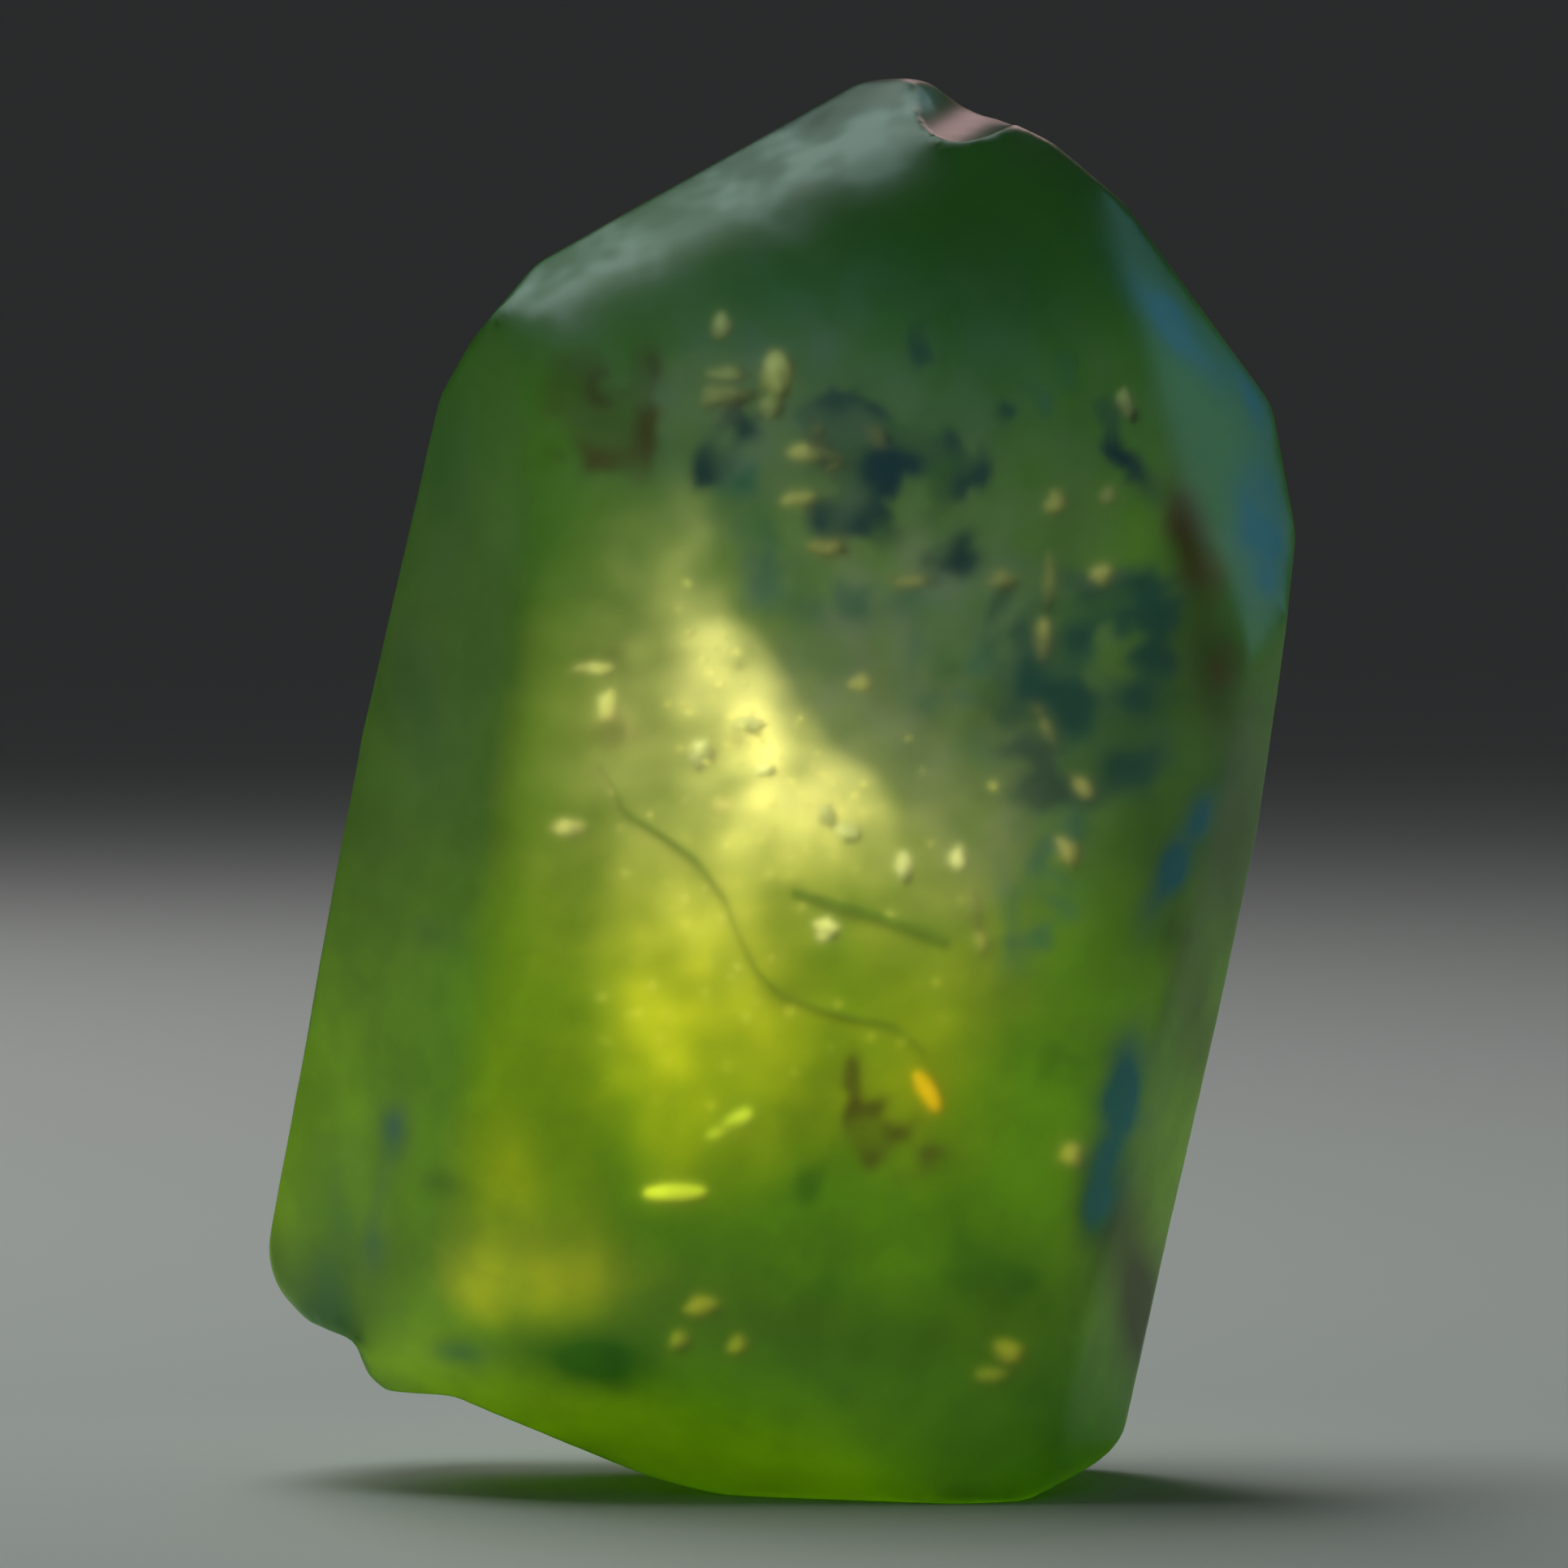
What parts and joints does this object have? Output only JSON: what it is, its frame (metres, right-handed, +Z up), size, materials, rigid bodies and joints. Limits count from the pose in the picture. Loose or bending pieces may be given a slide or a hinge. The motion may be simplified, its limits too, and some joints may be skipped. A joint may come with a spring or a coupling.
{
  "type": "peridot crystal",
  "caption": "Rough peridot crystal: a see-through green prism with a chisel-shaped top and a broken foot, standing on a small flat spot.",
  "frame": {"origin": "middle of the bounding box, at the level of the flat spot that the crystal rests on", "axes": "+Z up as the crystal stands, +X to the right and -Y towards a viewer of its broad front face"},
  "size_m": [0.016, 0.009, 0.0219],
  "materials": {
    "peridot": "clear yellow-green stone with a softly worn, partly frosted surface"
  },
  "bodies": {
    "root": {"peridot_crystal": "peridot"}
  },
  "joints": []
}
